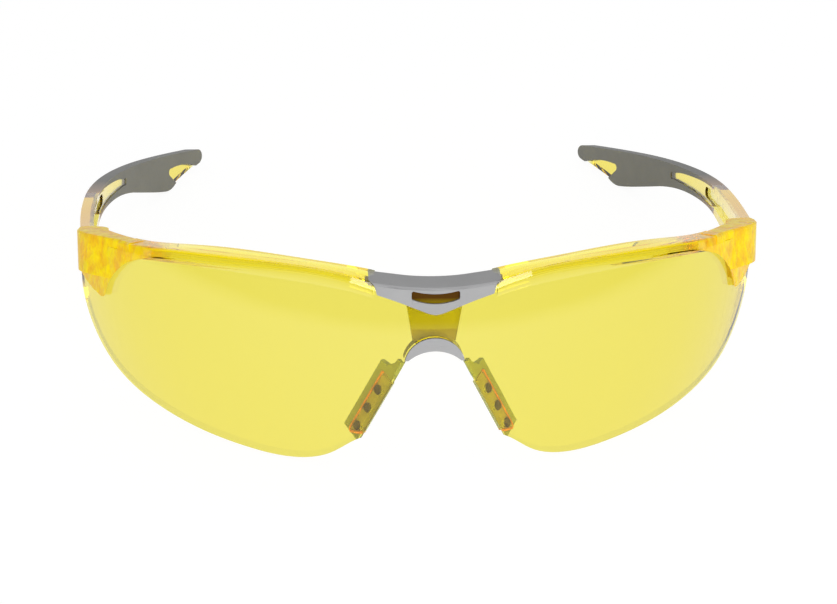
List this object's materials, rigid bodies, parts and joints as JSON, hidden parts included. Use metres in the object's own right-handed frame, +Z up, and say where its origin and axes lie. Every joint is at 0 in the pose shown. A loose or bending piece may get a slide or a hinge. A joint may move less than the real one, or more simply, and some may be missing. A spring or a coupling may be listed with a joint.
{
  "type": "safety glasses",
  "caption": "Wrap-around safety glasses with a one-piece tinted lens in a half frame, soft bridge, nose pads and folding temples with soft sleeves.",
  "frame": {"origin": "centre of the footprint on the table, with the open glasses resting on the lens's lower edge and the heels of the temples", "axes": "+X to the wearer's left, +Y back from the lens towards the temple tips, +Z up"},
  "size_m": [0.1526, 0.1602, 0.0447],
  "materials": {
    "lens_yellow": "clear amber-yellow polycarbonate, polished",
    "frame_yellow": "clear yellow polycarbonate, polished",
    "temple_yellow": "clear yellow polycarbonate, polished",
    "soft_grey": "soft matte grey elastomer",
    "pad_grey": "soft matte grey elastomer",
    "sleeve_grey": "soft matte dark grey elastomer",
    "pin_steel": "plain steel pin"
  },
  "bodies": {
    "front": {"lens": "lens_yellow", "brow_frame": "frame_yellow", "bridge_cover": "soft_grey", "nose_saddle": "soft_grey", "left_nose_pad": "pad_grey", "right_nose_pad": "pad_grey", "left_hinge_pin": "pin_steel", "right_hinge_pin": "pin_steel"},
    "left_temple": {"left_temple_arm": "temple_yellow", "left_temple_sleeve": "sleeve_grey"},
    "right_temple": {"right_temple_arm": "temple_yellow", "right_temple_sleeve": "sleeve_grey"}
  },
  "joints": [
    {"name": "left_temple_fold", "type": "hinge", "parent": "front", "child": "left_temple", "pos_m": [0.07131, -0.03355, 0.03039], "axis": [0, 0.2505, 0.9681], "range_deg": [0, 72]},
    {"name": "right_temple_fold", "type": "hinge", "parent": "front", "child": "right_temple", "pos_m": [-0.07131, -0.03355, 0.03039], "axis": [0, -0.2505, -0.9681], "range_deg": [0, 88]}
  ]
}
